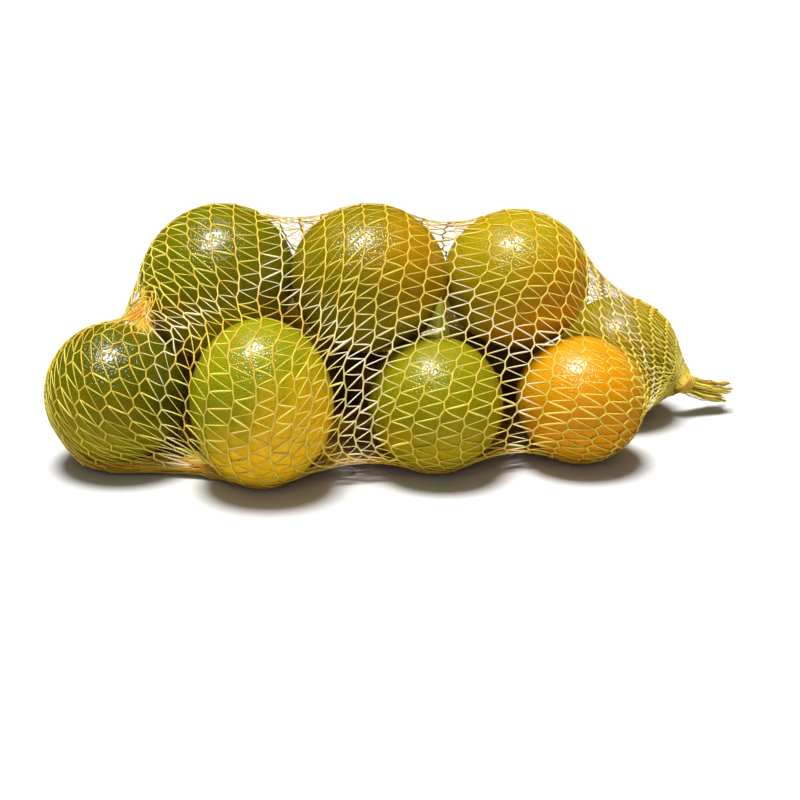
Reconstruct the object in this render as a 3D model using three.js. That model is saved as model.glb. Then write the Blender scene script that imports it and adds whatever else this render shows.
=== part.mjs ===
// A net bag of oranges lying on its side: a knitted net drawn tight over a heap of fruit,
// gathered into a tied tail at each end. The bag is one closed body, the outer face of the net.
// X runs along the bag, Y from its front to its back, Z up from the floor.
import * as THREE from 'three';
import { mergeVertices } from 'three/addons/utils/BufferGeometryUtils.js';

// Sizes in millimetres
const NET_STANDOFF = 1.0; // outer face of the net over the peel
const FLOOR_PRESS = 1.4; // how far the weight flattens the underside of a resting orange
const AROUND = 60; // spokes round the bag
const BODY_RINGS = 60; // rings from one neck to the other
const TAIL_RINGS = 7; // rings from a neck to the end of its tail
const SWEEPS = 1200; // passes that draw the slack net tight
const PULL_ALONG = 0.33; // share of a knot's pull from each neighbour along the bag
const PULL_AROUND = 0.17; // and from each neighbour round it
const PULL_STEP = 0.8; // share of the way that a knot moves in one pass
const EVEN_EVERY = 15; // passes between two evenings of the ring spacing
const TAIL_PLEATS = 10;
const PLEAT_DEPTH = 0.14; // share of the tail's radius

// Each orange: place along and across the bag, height of its middle where it sits on others,
// radius round its stem axis, height over width along that axis, and the axis where it leans.
const ORANGES = [
  { name: 'left_end', x: -140.7, y: 36, radius: 35.7, tall: 1.0 },
  { name: 'front_left', x: -67, y: 6, radius: 35.4, tall: 1.18 },
  { name: 'front_middle', x: 17.5, y: 26, radius: 34, tall: 0.99 },
  { name: 'front_right', x: 90, y: 39, radius: 32.4, tall: 0.98 },
  { name: 'right_end', x: 115, y: 105, radius: 32.3, tall: 0.98 },
  { name: 'top_left', x: -92.2, y: 74, z: 81.2, radius: 41.2, tall: 0.935, axis: [-0.7, 0, 0.7] },
  { name: 'top_middle', x: -16, y: 57, z: 88.6, radius: 39.2, tall: 0.945 },
  { name: 'top_right', x: 60.2, y: 72, z: 83.9, radius: 37.3, tall: 0.935 },
  { name: 'back_left', x: -106, y: 127, radius: 32.5, tall: 0.97 },
  { name: 'back_middle', x: -40, y: 114, radius: 34.5, tall: 0.98 },
  { name: 'back_right', x: 42, y: 117, radius: 34.5, tall: 0.97 },
];

// Each tail: where the net is tied, where the tuft ends, and its widths there.
const TAILS = {
  left: { neck: [-152, 80, 37], bend: [-162, 88, 22], tip: [-167, 105, 8], neckRadius: 4.5, tipRadius: 8 },
  right: { neck: [151, 104, 17], bend: [159, 107, 11], tip: [177, 112, 8], neckRadius: 4.5, tipRadius: 8.5 },
};
const TAIL_FLARE = 0.7; // power of the widening from neck to tip, quick at first
const TIP_FLATTEN = 0.75; // height over width of a tuft lying on the floor
const TIP_HOLLOW = 4; // depth of the dished end of a tuft

// The roll of slack net that lies on the floor between the two left oranges.
const FLOOR_FOLD = { middle: [-121, 27, 6.2], half: [46, 15, 6] };

const SEAM_MERGE = 1e-3; // points this close are one
const UP = new THREE.Vector3(0, 0, 1);

// Maps a unit ball onto a rounded body that holds the net out.
function rounded(middle, half, lean = new THREE.Quaternion()) {
  const matrix = new THREE.Matrix4().compose(middle, lean, half);
  return { matrix, inverse: matrix.clone().invert(), middle, reach: Math.max(...half.toArray()) };
}

// An orange with the net's thickness laid over it.
function coveredOrange({ x, y, z, radius, tall, axis = [0, 0, 1] }) {
  const across = radius + NET_STANDOFF;
  const along = radius * tall + NET_STANDOFF;
  const middle = new THREE.Vector3(x, y, z ?? along - FLOOR_PRESS);
  const lean = new THREE.Quaternion().setFromUnitVectors(UP, new THREE.Vector3(...axis).normalize());
  return rounded(middle, new THREE.Vector3(across, across, along), lean);
}

// Moves a point of the net out of every rounded body and up onto the floor.
function keepOutside(point, balls) {
  for (const ball of balls) {
    if (point.distanceToSquared(ball.middle) > ball.reach * ball.reach) continue;
    point.applyMatrix4(ball.inverse);
    if (point.lengthSq() < 1) point.normalize();
    point.applyMatrix4(ball.matrix);
  }
  point.z = Math.max(point.z, 0);
}

// Spaces the points of a line evenly along its length, ends kept.
function spaceEvenly(line) {
  const source = line.map((point) => point.clone());
  const reached = [0];
  for (let i = 1; i < source.length; i++) {
    reached.push(reached[i - 1] + source[i].distanceTo(source[i - 1]));
  }
  const step = reached[source.length - 1] / (source.length - 1);
  let span = 1;
  for (let i = 1; i < source.length - 1; i++) {
    while (reached[span] < i * step) span++;
    const share = (i * step - reached[span - 1]) / (reached[span] - reached[span - 1]);
    line[i].lerpVectors(source[span - 1], source[span], share);
  }
}

// Ring of the tail at a share of the way from its neck to its tip.
function tailRing({ neck, bend, tip, neckRadius, tipRadius }, share, outward) {
  const path = new THREE.QuadraticBezierCurve3(
    new THREE.Vector3(...neck), new THREE.Vector3(...bend), new THREE.Vector3(...tip));
  const middle = path.getPoint(share);
  const along = path.getTangent(share).multiplyScalar(outward);
  const side = new THREE.Vector3().crossVectors(UP, along).normalize();
  const rise = new THREE.Vector3().crossVectors(along, side);
  const radius = THREE.MathUtils.lerp(neckRadius, tipRadius, share ** TAIL_FLARE);
  const flat = THREE.MathUtils.lerp(1, TIP_FLATTEN, share);
  const ring = [];
  for (let spoke = 0; spoke < AROUND; spoke++) {
    const turn = (spoke / AROUND) * 2 * Math.PI;
    const pleated = radius * (1 - PLEAT_DEPTH * share * (1 + Math.cos(TAIL_PLEATS * turn)));
    ring.push(middle.clone()
      .addScaledVector(side, pleated * Math.sin(turn))
      .addScaledVector(rise, pleated * flat * Math.cos(turn)));
  }
  return ring;
}

// The middle of a tuft's dished end.
function tuftEnd({ bend, tip }) {
  const back = new THREE.Vector3(...bend).sub(new THREE.Vector3(...tip)).normalize();
  return new THREE.Vector3(...tip).addScaledVector(back, TIP_HOLLOW);
}

// The slack net: a lathed tube round the whole heap, rings along X and spokes from the top round.
const RINGS = BODY_RINGS + 2 * TAIL_RINGS + 2;
const SLACK = { middle: [-10, 60, 62], halfLength: 205, halfWidth: 115, halfHeight: 85 };
const profile = [];
for (let ring = 0; ring < RINGS; ring++) {
  const swing = (ring / (RINGS - 1)) * Math.PI;
  profile.push(new THREE.Vector2(ring % (RINGS - 1) ? Math.sin(swing) : 0, -Math.cos(swing)));
}
const bag = new THREE.LatheGeometry(profile, AROUND);
bag.rotateZ(-Math.PI / 2);
bag.scale(SLACK.halfLength, SLACK.halfWidth, SLACK.halfHeight);
bag.translate(...SLACK.middle);

// Its knots by ring and spoke, with the tails set in place
const places = bag.attributes.position;
const knots = [];
for (let ring = 0; ring < RINGS; ring++) {
  knots.push(Array.from({ length: AROUND }, (_, spoke) =>
    new THREE.Vector3().fromBufferAttribute(places, spoke * RINGS + ring)));
}
const leftNeck = TAIL_RINGS;
const rightNeck = RINGS - 1 - TAIL_RINGS;
for (let ring = 1; ring <= TAIL_RINGS; ring++) {
  const share = 1 - (ring - 1) / (TAIL_RINGS - 1);
  knots[ring] = tailRing(TAILS.left, share, -1);
  knots[RINGS - 1 - ring] = tailRing(TAILS.right, share, 1);
}
knots[0] = knots[0].map(() => tuftEnd(TAILS.left));
knots[RINGS - 1] = knots[RINGS - 1].map(() => tuftEnd(TAILS.right));

// Draw it tight: every knot is pulled to the mean of its four neighbours and held off the fruit
const fold = rounded(new THREE.Vector3(...FLOOR_FOLD.middle), new THREE.Vector3(...FLOOR_FOLD.half));
const balls = [...ORANGES.map(coveredOrange), fold];
const pull = new THREE.Vector3();
for (let sweep = 1; sweep <= SWEEPS; sweep++) {
  for (let ring = leftNeck + 1; ring < rightNeck; ring++) {
    for (let spoke = 0; spoke < AROUND; spoke++) {
      const point = knots[ring][spoke];
      pull.set(0, 0, 0)
        .addScaledVector(knots[ring][(spoke + 1) % AROUND], PULL_AROUND)
        .addScaledVector(knots[ring][(spoke + AROUND - 1) % AROUND], PULL_AROUND)
        .addScaledVector(knots[ring - 1][spoke], PULL_ALONG)
        .addScaledVector(knots[ring + 1][spoke], PULL_ALONG);
      point.lerp(pull, PULL_STEP);
      keepOutside(point, balls);
    }
  }
  if (sweep % EVEN_EVERY === 0 && sweep < SWEEPS) {
    for (let spoke = 0; spoke < AROUND; spoke++) {
      spaceEvenly(knots.slice(leftNeck, rightNeck + 1).map((ring) => ring[spoke]));
    }
  }
}

// The drawn net as one closed skin, its origin under the middle of its box
for (let spoke = 0; spoke <= AROUND; spoke++) {
  for (let ring = 0; ring < RINGS; ring++) {
    places.setXYZ(spoke * RINGS + ring, ...knots[ring][spoke % AROUND].toArray());
  }
}
bag.deleteAttribute('normal');
bag.deleteAttribute('uv');
const skin = mergeVertices(bag, SEAM_MERGE);
skin.computeBoundingBox();
const centre = skin.boundingBox.getCenter(new THREE.Vector3());
skin.translate(-centre.x, -centre.y, -skin.boundingBox.min.z);
skin.computeVertexNormals();

const netting = new THREE.MeshStandardMaterial({ color: 0xd9a92b, roughness: 0.5, metalness: 0 });
const netBag = new THREE.Mesh(skin, netting);
netBag.name = 'net_bag';

const group = new THREE.Group();
group.name = 'orange_net_bag';
group.add(netBag);

export default group;
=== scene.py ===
"""A net bag of oranges on a pale floor.

The file is laid out as an add-on and run as a script. Its operators make the fruit, the knitted
net that is drawn tight over it, the tied ends of the net, one leaf and the stage.
"""
import math
from typing import NamedTuple

import bmesh
import bpy
import numpy as np
from bpy.props import FloatProperty, FloatVectorProperty, PointerProperty
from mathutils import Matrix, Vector


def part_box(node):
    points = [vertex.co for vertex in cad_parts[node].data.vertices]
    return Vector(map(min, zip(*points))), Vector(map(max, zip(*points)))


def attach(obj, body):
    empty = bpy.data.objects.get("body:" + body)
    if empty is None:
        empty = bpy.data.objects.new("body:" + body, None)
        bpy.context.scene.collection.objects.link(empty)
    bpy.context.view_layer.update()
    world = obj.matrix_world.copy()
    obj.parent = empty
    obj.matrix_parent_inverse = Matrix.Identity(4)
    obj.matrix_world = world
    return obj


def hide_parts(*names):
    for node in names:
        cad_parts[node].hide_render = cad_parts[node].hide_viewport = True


bl_info = {
    "name": "Net Bag of Oranges",
    "version": (1, 0, 0),
    "blender": (4, 5, 0),
    "location": "3D View > Sidebar > Net Bag",
    "description": "Makes the fruit, the knitted net, its tied ends and the stage of a net bag of oranges",
    "category": "Object",
}

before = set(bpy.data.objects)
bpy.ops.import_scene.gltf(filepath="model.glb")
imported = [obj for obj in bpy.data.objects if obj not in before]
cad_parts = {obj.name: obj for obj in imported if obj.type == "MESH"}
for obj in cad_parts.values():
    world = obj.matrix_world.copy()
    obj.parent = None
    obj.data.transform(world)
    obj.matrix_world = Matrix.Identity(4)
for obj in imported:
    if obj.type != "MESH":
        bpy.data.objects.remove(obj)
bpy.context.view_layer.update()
BAG_NODE = "net_bag"
BAG_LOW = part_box(BAG_NODE)[0]
BODY = "root"
MM = 0.001
UP = np.array([0.0, 0.0, 1.0])
FULL_TURN = 2 * math.pi
DEGREES = 360

# Where nothing else is said, sizes are in millimetres, turns, twists and waves in radians, and tints
# run from 0, deep, to 1, golden. The widths and heights of single threads are half ones.

# The heap
NET_STANDOFF = 1.0  # outer face of the net over the peel
FLOOR_PRESS = 1.4  # how far the weight flattens the underside of a resting orange
PEEL_FLOOR = 1.0  # height of that flat underside, on the net that lies under it


class Orange(NamedTuple):
    """One fruit of the heap: its place and size, the way that its peel has coloured, and the painted light on
    one side.
    """

    x: float
    y: float
    z: float  # height of its middle, or None where it rests on the floor
    radius: float
    tall: float  # height over width along its lean
    lean: tuple  # the axis that its height runs along
    stem: tuple  # where its stem end points
    ripe: float  # from 0, green, to 1, orange brown
    depth: float  # how light the peel is
    blush_and_painted_light: tuple  # where its riper side points, the side that is also painted lighter
    spread: float  # how much riper that side is
    painted_glow: float  # how much lighter that side is: painted light
    edge: float  # where that side begins: 0 half way round the fruit, 1 right at its middle


UPRIGHT = (0, 0, 1)
# Most fruit are painted lighter on the side that points down: painted light for the bounce off the floor
ORANGES = {
    "left_end": Orange(-140.7, 36, None, 35.7, 1.0, UPRIGHT, (-0.5, 0.8, 0.2),
                       0.04, 0.29, (-0.3, -0.5, -0.8), 0.26, 3.0, 0.35),
    "front_left": Orange(-67, 6, None, 35.4, 1.18, UPRIGHT, (0.2, 0.9, -0.3),
                         0.08, 0.85, (0.55, -0.35, -0.76), 0.64, 2.9, 0.25),
    "front_middle": Orange(17.5, 26, None, 34, 0.99, UPRIGHT, (0.08, 0.14, 0.98),
                           0.14, 0.74, (0.2, -0.5, -0.8), 0.3, 1.65, 0.48),
    "front_right": Orange(90, 39, None, 32.4, 0.98, UPRIGHT, (0.5, 0.7, -0.5),
                          0.88, 1.65, (0.3, -0.7, -0.5), 0.08, 1.1, 0.2),
    "right_end": Orange(115, 105, None, 32.3, 0.98, UPRIGHT, (0.7, 0.6, 0.4),
                        0.26, 0.63, (-0.6, -0.4, 0.5), 0.12, 1.1, 0.2),
    "top_left": Orange(-92.2, 74, 81.2, 41.2, 0.935, (-0.7, 0, 0.7), (-0.6, 0.5, 0.62),
                       0.04, 0.43, (0.2, -0.35, -0.9), 0.34, 1.9, 0.35),
    "top_middle": Orange(-15.5, 57, 88.6, 39.2, 0.945, UPRIGHT, (-0.3, 0.9, 0.3),
                         0.34, 0.62, (0.85, -0.42, 0.32), 0.46, 1.8, 0.76),
    "top_right": Orange(58.9, 72, 83.9, 37.3, 0.935, UPRIGHT, (0.3, 0.8, 0.5),
                        0.42, 1.02, (0.7, -0.3, -0.65), 0.52, 1.2, 0.25),
    # The back oranges are painted dark on the front, which faces into the heap, and lighter on the back:
    # painted shade
    "back_left": Orange(-106, 127, None, 32.5, 0.97, UPRIGHT, (-0.3, 0.8, 0.5),
                        0.7, 0.3, (-0.2, 0.95, 0.2), -0.4, 2.2, 0.1),
    "back_middle": Orange(-40, 114, None, 34.5, 0.98, UPRIGHT, (0.1, 0.95, 0.1),
                          0.8, 0.2, (-0.1, 0.95, 0.2), -0.2, 3.6, 0.15),
    "back_right": Orange(42, 117, None, 34.5, 0.97, UPRIGHT, (0.4, 0.8, -0.3),
                         0.7, 0.24, (0.1, 0.95, 0.2), -0.3, 3.1, 0.15),
}

# The shape of a fruit and of its stem button
FRUIT_DETAIL = 6
FRUIT_SEED = 40
LUMP_WAVES = 9
LUMP_PITCH = (1.5, 4.5)  # radians of a wave over one radius
LUMP_DEPTH = 0.012  # of the radius
LUMP_RISE = 0.003  # how far the highest lump stands out, of the radius
STEM_HOLLOW = 1.1  # depth of the hollow round a stem
STEM_SPREAD = 0.2  # radius of that hollow, in radians
BUTTON_RADIUS = 3.4
BUTTON_LOBES = 5
BUTTON_LOBE_STEPS = 8
BUTTON_WAVE = 0.22  # depth of the lobes, of the radius
BUTTON_SINK = 0.55
BUTTON_CORE = 0.4  # share of the radius where the lobes end
BUTTON_ROWS = ((1.0, -0.6), (1.0, 0.35), (0.82, 0.75), (0.5, 0.85), (0.36, 1.35), (0.22, 1.3), (0.14, 0.95))


class Tail(NamedTuple):
    """A tied end of the net: where it is tied, how the tuft bends and ends, and its widths."""

    neck: tuple
    bend: tuple
    tip: tuple
    neck_radius: float
    tip_radius: float
    outward: int  # which way along the bag the tuft points


TAILS = {
    "left": Tail((-152, 80, 37), (-162, 88, 22), (-167, 105, 8), 4.5, 8.0, -1),
    "right": Tail((151, 104, 17), (159, 107, 11), (177, 112, 8), 4.5, 8.5, 1),
}
TAIL_FLARE = 0.7  # power of the widening from neck to tip, quick at first
TIP_FLATTEN = 0.75  # height over width of a tuft lying on the floor

# The strips of a tuft, and the tape wound round its neck
TUFT_SEED = 70
TUFT_STRIPS = 70
TUFT_STEPS = 14
TUFT_LENGTH = (0.7, 1.0)  # of the way to the tip
TUFT_SWIRL = (-0.5, 0.5)
TUFT_FILL = (0.05, 0.92)  # share of the section that the strips fill
TUFT_WAVE = 0.12  # how far a strip sways, of the radius
TUFT_WAVES = (8, 22)
TUFT_INSIDE = 0.97  # of the radius that no strip leaves
TUFT_FLOOR = 0.5  # lowest that a strip lies
TUFT_WIDTH = (0.35, 0.75)
TUFT_HEIGHT = 0.16
TUFT_TURN = (-0.8, 0.8)
TUFT_TWIST = (-2, 2)
TUFT_TINT = 0.6
TUFT_UNEVEN = 0.25
TIE_TURNS = 4
TIE_TURN_STEPS = 24
TIE_PITCH = 1.25
TIE_RADIUS = 0.75
TIE_LIFT = 0.35  # of the tape's middle over the neck
TIE_TINT = 0.35

# Drawing the net tight
KINKS = 120  # kinks of one ring, round the bag
COARSE_RINGS = 62
SLACK_MIDDLE = (-10, 60, 62)
SLACK_HALF = (205, 115, 85)
SLACK_END = 7  # steps that the slack net stops short of its poles
COARSE_SWEEPS = 1500
FINE_SWEEPS = 300
PULL_ALONG = 0.33
PULL_AROUND = 0.17
PULL_STEP = 0.8
EVEN_EVERY = 15

# How many rings of the net lie between its left tie and a share of the way to its right tie,
# by the angle round the bag from its top by its front
RINGS = 38
RINGS_OVER_TOP = (
    (0, 0), (0.055, 4), (0.178, 9.2), (0.243, 11.4), (0.395, 16.85), (0.447, 19), (0.497, 20.85),
    (0.546, 22.6), (0.604, 24), (0.716, 28.05), (1, RINGS))
RINGS_AT_SADDLE = (
    (0, 0), (0.16, 4.4), (0.181, 8.6), (0.397, 16.85), (0.446, 19.25), (0.496, 21.1),
    (0.547, 22.85), (0.606, 24.75), (0.666, 27), (0.72, 28.6), (0.8, 31.2), (1, RINGS))
RINGS_BETWEEN = (
    (0, 0), (0.16, 6), (0.24, 8.75), (0.3, 11.6), (0.4, 15.9), (0.436, 17.95), (0.5, 20.85),
    (0.582, 24), (0.698, 28.25), (0.82, 32), (1, RINGS))
RINGS_IN_FRONT = (
    (0, 0), (0.25, 8.95), (0.373, 13), (0.433, 15.95), (0.486, 18.9), (0.542, 22.2), (0.613, 25),
    (0.7, 28.2), (1, RINGS))
RINGS_ELSEWHERE = ((0, 0), (1, RINGS))
RING_RULES = (
    (0, RINGS_OVER_TOP),
    (30, RINGS_OVER_TOP),
    (50, RINGS_AT_SADDLE),
    (71, RINGS_BETWEEN),
    (88, RINGS_IN_FRONT),
    (110, RINGS_IN_FRONT),
    (160, RINGS_ELSEWHERE),
    (285, RINGS_ELSEWHERE),
    (330, RINGS_OVER_TOP),
    (360, RINGS_OVER_TOP),
)

# The slack net that lies on the floor between the two left oranges: where it starts and ends
# along the bag and across it, and the height that it falls from
SLACK_ALONG = (-168, -150, -100, -84)
SLACK_ACROSS = (6, 19, 40, 54)
SLACK_UNDER = (14, 26)
SLACK_HEIGHT = 0.4

# The knit: the sway of a ring in rings, its thickness over the usual one, and the kinks that it
# lies lower than the last one in front of the bag, each by ring
KNIT_SEED = 3
ZIGZAG = (
    (0, 0.1), (8, 0.09), (11, 0.055), (13, 0.026), (18, 0.03), (21, 0.045), (28, 0.05), (31, 0.1),
    (RINGS, 0.12))
ZIGZAG_UNEVEN = 0.25
RING_THICK = ((0, 1), (28, 1), (31, 1.3), (RINGS, 1.3))
SHEAR = (
    (0, 2.0), (10, 2.0), (12, 1.5), (13.5, 0.6), (15, -0.2), (16.5, -1.3), (18.5, -1.9), (20, -1.0),
    (22, -0.2), (26, 0.1), (30, 1.0), (RINGS, 1.0))
SHEAR_FROM = 15  # degrees round the bag, from its top by its front, where that holds
SHEAR_TO = 110
NET_INSET = 0.6  # middle of the threads under the outer face

# Painted light: where the threads are painted pale, by their distance off the peel over the gaps,
# and where they are painted deep in colour, by the distance of two rings where they bunch
PAINTED_PALE_FROM = 4.5
PAINTED_PALE_AT = 15.0
BUNCHED = 3.0
OPEN = 8.0

# Painted shade: where the threads are painted deeper as well, by how much, how far they face up and how low
# they lie
PAINTED_DEEP_OVER = 0.25
PAINTED_DEEP_FACING = (0.35, 0.9)
PAINTED_DEEP_UNDER = 0.5
PAINTED_DEEP_HEIGHT = (3, 12)

# The rings: thickness at a kink and between two, and the tint
RING_SEED = 5
RING_SIDES = 6
RING_SWELL = (1.14, 0.92)
RING_UNEVEN = 0.07
RING_TINT = 0.78
RING_PAINTED_BUNCH_DEPTH = 0.7  # how much deeper bunched ones are painted
RING_PAINTED_PALE = 0.45  # how much paler free ones are painted
TINT_UNEVEN = 0.2

# The strands: how they bow, their widths, and how they turn and twist
STRAND_SEED = 8
STRAND_STEPS = 4
TAPE_SIDES = 4
BOW_LIMIT = 0.8  # largest bow of a strand
SLACK_BOW = 2.4  # largest bow of a slack one
SLACK_SHARE = 0.08
BOW_OF_SLACK = 0.375  # square of a flat arc's height over its span times its slack
BOW_SIDES = (-0.6, 1.0)
TAPE_SHARE = 0.25  # share of the strands that lie flat and wide
TAPE_WIDE = 1.5  # width of those over the mean
TAPE_NARROW = 0.95  # and of the others
STRAND_ENDS = 0.62  # width at both ends
STRAND_BELLY = 0.5  # how much wider the middle is
STRAND_UNEVEN = 0.08
STRAND_TURN = (-0.9, 0.9)
STRAND_TWIST = (-0.7, 0.7)
STRAND_TINT = 0.9
# How much deeper bunched strands are painted, and how much paler free ones are painted
STRAND_PAINTED_BUNCH_DEPTH = 0.8
STRAND_PAINTED_PALE = 0.9
SMALLEST = 1e-6  # least length that a strand's direction is worked out from
WAVE_STARTS = (0, 6.3)  # a wave starts anywhere in one turn

# The bunch of threads between the left end and top left oranges: its middle, and the ways from
# each orange's middle to the ends of its threads with how far they scatter
GATHER_SEED = 12
GATHER = (-127.5, 47, 73.5)
GATHER_LOOSE = (1.5, 1.4, 2.2)
GATHER_FROM = (((-0.02, 0.2, 0.95), 0.09), ((0.3, 0.02, 0.92), 0.1), ((0.44, 0.02, 0.86), 0.09))
GATHER_TO = (((-0.87, -0.46, 0.02), 0.045), ((-0.8, -0.58, -0.2), 0.06))
GATHER_STRANDS = 150
GATHER_STEPS = 13
GATHER_SOFTENED = 3  # passes that round off the bend of its threads
GATHER_FACING = (-0.6, -0.5, 0.6)
GATHER_WIDTH = (0.22, 0.42)
GATHER_TAPER = 0.85  # share of the width that is gone at both ends
GATHER_TURN = (-1.5, 1.5)
GATHER_TWIST = (-2, 2)
# The bunch is painted deep in its middle and more golden towards its ends
GATHER_TINT = 0.1
GATHER_TINT_ENDS = 0.8  # how much more golden both ends are

# The roll of slack net on the floor: the line of its front edge, how deep and how high it is
FOLD_SEED = 17
FOLD_LINE = (
    (-168, 47, 9.5), (-163, 33, 7), (-155, 20, 5.4), (-143, 13, 5), (-127, 12, 5), (-111, 13, 4.6),
    (-99, 11, 4), (-89, 6, 3.4), (-81, -2, 3))
FOLD_DEEP = 5
FOLD_HIGH = 4.4
FOLD_STRANDS = 110
FOLD_STEPS = 30
FOLD_ENDS = 0.08  # width of its ends over its middle
FOLD_WIDENS = (0, 0.3)  # shares of its length where it grows wider, and narrower again
FOLD_NARROWS = (0.8, 1)
FOLD_SWIRL = (-2, 2)
FOLD_FILL = (0.1, 1)  # share of the section that the threads fill
FOLD_WAVE = 0.5
FOLD_WAVES = (10, 40)
FOLD_FACING = (0, -0.7, 0.7)
FOLD_WIDTH = (0.25, 0.5)
FOLD_TURN = (-1.5, 1.5)
FOLD_TWIST = (-3, 3)
# Painted shade: the roll lies under the left end orange and is tinted deeper than the rings
FOLD_TINT = 0.45
FOLD_UNEVEN = 0.35

# The net bunched on the floor under the heap, laid there dark as painted shade in the gaps: the lines of its
# front and back edges
UNDER_SEED = 23
UNDER_FRONT = (
    (-120, 34), (-100, 24), (-67, 32), (-40, 34), (-15, 40), (17, 38), (45, 48), (62, 57), (90, 62),
    (108, 78))
UNDER_BACK = ((-120, 40), (-104, 56), (-84, 92), (108, 92))
UNDER_RAGGED = 16  # how unevenly its threads end
UNDER_CROWDED = 1.3  # power that crowds them towards the front
UNDER_STRANDS = 230
UNDER_STEPS = 44
UNDER_SWAY = 3
UNDER_WAVES = (8, 22)  # length of a wave for each radian
UNDER_HEIGHT = (0.5, 1.6)
UNDER_WIDTH = (0.35, 0.65)
UNDER_TURN = (-0.3, 0.3)
# A deep tint: painted shade
UNDER_TINT = 0.1
UNDER_UNEVEN = 0.15

# The threads bunched inside the net's lower face, laid there dark as painted shade too: the share of the way
# along the bag and the degrees round it that they fill, and how far inside the outer face they lie
LOW_ALONG = (0.08, 0.86)
LOW_ROUND = (222, 118)
LOW_CROWDED = 1.2  # power that crowds them towards the floor
LOW_INSET = 1.8
LOW_STRANDS = 210
LOW_SWAY = 3  # degrees
LOW_WAVES = (2, 6)  # rows of the drawn net for each radian

# The leaf and its stalk
LEAF_BASE = (18.2, 30, 66)
LEAF_TIP = (20, 38, 85)
LEAF_ROWS = 22
LEAF_COLUMNS = 11
LEAF_THICKNESS = 0.35
LEAF_SHOULDER = 0.1  # share of its length where it is widest
LEAF_HEEL = 0.04  # square of its width at the base, over its widest
LEAF_NARROWS = 0.985  # share of its width that is gone at the tip
LEAF_FOLD = 0.35  # how far its sides stand forward, over their reach
LEAF_CURL = -2.2  # how far its tip stands forward
LEAF_RIPPLE = 0.25  # height of the ripples of its sides
LEAF_RIPPLES = 17  # of their wave, along the leaf
RIB_TONE = 0.5
RIB_WIDTH = 0.5
VEINS = 26  # of their wave, along the leaf
VEIN_SLANT = 5  # and from the rib to the side
VEIN_SHARP = 6  # power that narrows them
VEIN_TONE = 0.3
LEAF_PALE = 0.75  # how pale its tip is, and where that starts and ends
LEAF_PALE_TIP = (0.35, 0.9)
STALK_LINE = ((10.4, 27.5, 69.0), (14, 27.5, 70.0), (18, 27.8, 70.6), (22, 28.6, 71.8))
STALK_STEPS = 16
STALK_SIDES = 8
STALK_WIDTH = 3.0
STALK_TAPER = (0.16, 0.7)  # part of a half wave that its width follows
STALK_THICKNESS = 0.3
STALK_FACING = (0, -1, 0.3)
STALK_CURL = 0.5
STALK_CURLS = 5  # of the wave of its curl, along the stalk

# How the peel turns from green to orange. Noise is counted per metre.
PEEL_TONES = ("green", "lime", "gold", "amber")
TONE_LIMIT = 0.95  # lightest that any part of a colour gets
NOISE_MIDDLE = 0.5
CLOUD_NOISE = 36
MOTTLE_NOISE = 150
PATCH_NOISE = 62
GRAIN_NOISE = 420
FINE_DETAIL = 3
PLAIN_DETAIL = 2
TURN_CLOUDED = 0.8
TURN_MOTTLED = 0.4
TURN_SOFT = 0.5  # half the width of the edge of the riper, painted-lit side
GREENER_RIPE = 0.16  # how much less ripe the green patches are
GREENER_DEPTH = 0.86
GREENER_EDGE = (0.52, 0.7)
GREENER_SHARE = 0.7
GREENER_LOST = 0.45  # how much of that the ripest side loses
PORE_SOFT = 0.25
PORE_EDGE = (0.05, 0.55)
# Painted shade: the pits of the pores are darkened by this
PORE_SHADE = (0.86, 0.87, 0.8, 1)
GRAIN_HEIGHT = 0.9
PEEL_ROUGH = 0.12
PEEL_ROUGH_MOTTLE = 0.1
PEEL_BUMP = (0.7, 0.00024)  # strength, and height in metres

# Grain and bumps of the other finishes
BUTTON_NOISE = 900
BUTTON_DETAIL = 4
BUTTON_BUMP = (0.5, 0.0004)
FIBRE_NOISE = 1400
FIBRE_TINT = 0.5
FIBRE_BUMP = (0.25, 0.0002)
NET_ROUGH = 0.36
NET_ROUGH_FIBRE = 0.2
BLADE_NOISE = 500
BLADE_SHADE = 0.7
BLADE_BUMP = (0.4, 0.0003)
FLECK_NOISE = 700
FLECK_EDGE = (0.54, 0.66)
FLECK_BUMP = (0.4, 0.0002)
FLOOR_NOISE = 60
FLOOR_DETAIL = 4
FLOOR_SHADE = 0.985

# Where the lights stand, and how wide they look in degrees
KEY_WAY = (-0.1, 0.1, 0.99)
KEY_WIDTH = 22
GLEAM_WAY = (-0.14, -0.09, 0.98)
GLEAM_WIDTH = 26
FILL_WAY = (-0.05, -0.9, 0.42)
FILL_WIDTH = 60
VIEW_TARGET = (0, 0, 45)
VIEW_NEAR = 0.01  # metres, as the next two
FLOOR_REACH = 6.0
FLOOR_DROP = 0.0005


def display(red, green, blue):
    """A colour given as eight-bit display values, as the linear values that shaders use."""
    shares = [value / 255 for value in (red, green, blue)]
    return tuple(s / 12.92 if s <= 0.04045 else ((s + 0.055) / 1.055) ** 2.4 for s in shares)


def unit(vectors):
    """Vectors of length one."""
    vectors = np.asarray(vectors, float)
    return vectors / np.linalg.norm(vectors, axis=-1, keepdims=True)


def ease(values, low, high):
    """0 below low, 1 above high and smooth between them."""
    share = np.clip((np.asarray(values, float) - low) / (high - low), 0, 1)
    return share * share * (3 - 2 * share)


def turns(count):
    """Angles evenly round one turn."""
    return np.arange(count) / count * FULL_TURN


def look_up(places, table):
    """A table's values at places, straight between its rows."""
    return np.interp(places, *np.array(table, float).T)


def along_line(line, share):
    """Points at shares of the way along a line through evenly spaced places."""
    places = np.linspace(0, 1, len(line))
    return np.stack([np.interp(share, places, part) for part in np.array(line, float).T], 1)


def scatter(rng, count, span):
    """One random value of a span for each of a count of threads."""
    return rng.uniform(*span, (count, 1))


def waves(rng, angles):
    """Waves along threads, each from a start of its own."""
    return np.sin(angles + scatter(rng, len(angles), WAVE_STARTS))


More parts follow.
